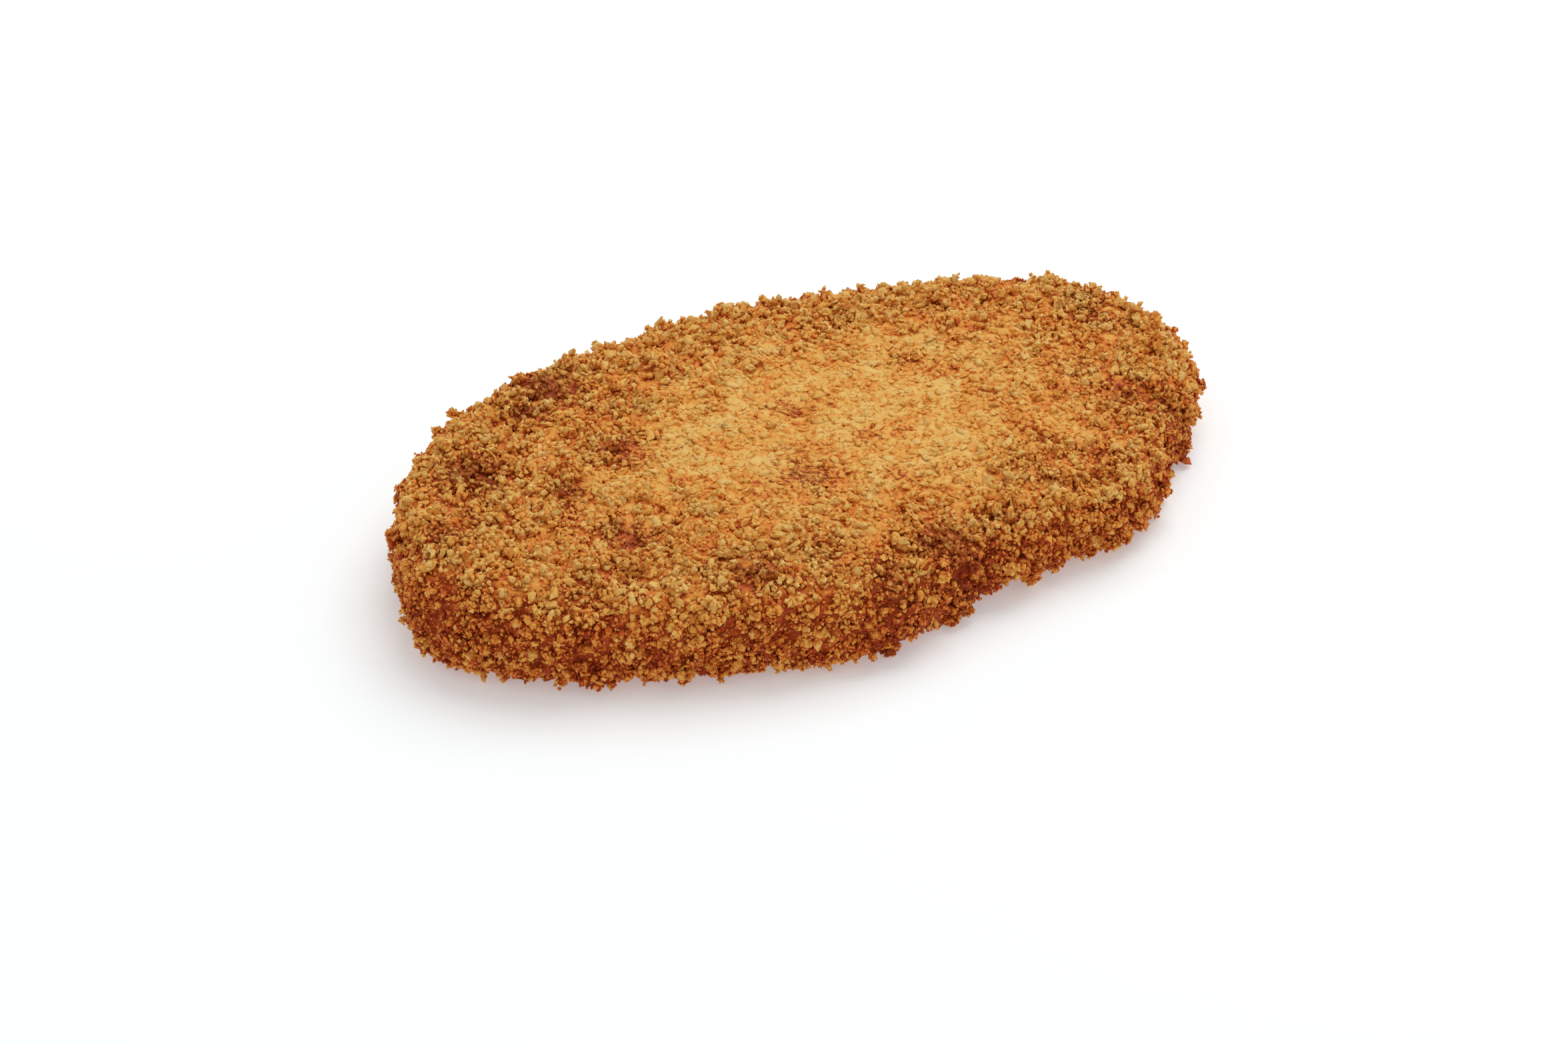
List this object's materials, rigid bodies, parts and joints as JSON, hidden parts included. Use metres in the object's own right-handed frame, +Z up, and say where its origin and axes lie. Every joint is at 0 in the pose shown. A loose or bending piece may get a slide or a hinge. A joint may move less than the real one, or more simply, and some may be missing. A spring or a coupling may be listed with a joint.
{
  "type": "schnitzel",
  "caption": "Breaded and fried schnitzel: a flat rounded oblong slab with a coarse golden crumb crust, thick at its heel and thinner at the far end, lying on its flat underside.",
  "frame": {"origin": "centre of the bounding box in plan, on the surface that the schnitzel lies on", "axes": "+X along its length towards the thin end, +Y across its width, +Z up through its thickness"},
  "size_m": [0.151, 0.0894, 0.0188],
  "materials": {
    "crumb_crust": "rough fried breadcrumb coat, golden brown, with a slight oil gloss"
  },
  "bodies": {
    "root": {"schnitzel": "crumb_crust"}
  },
  "joints": []
}
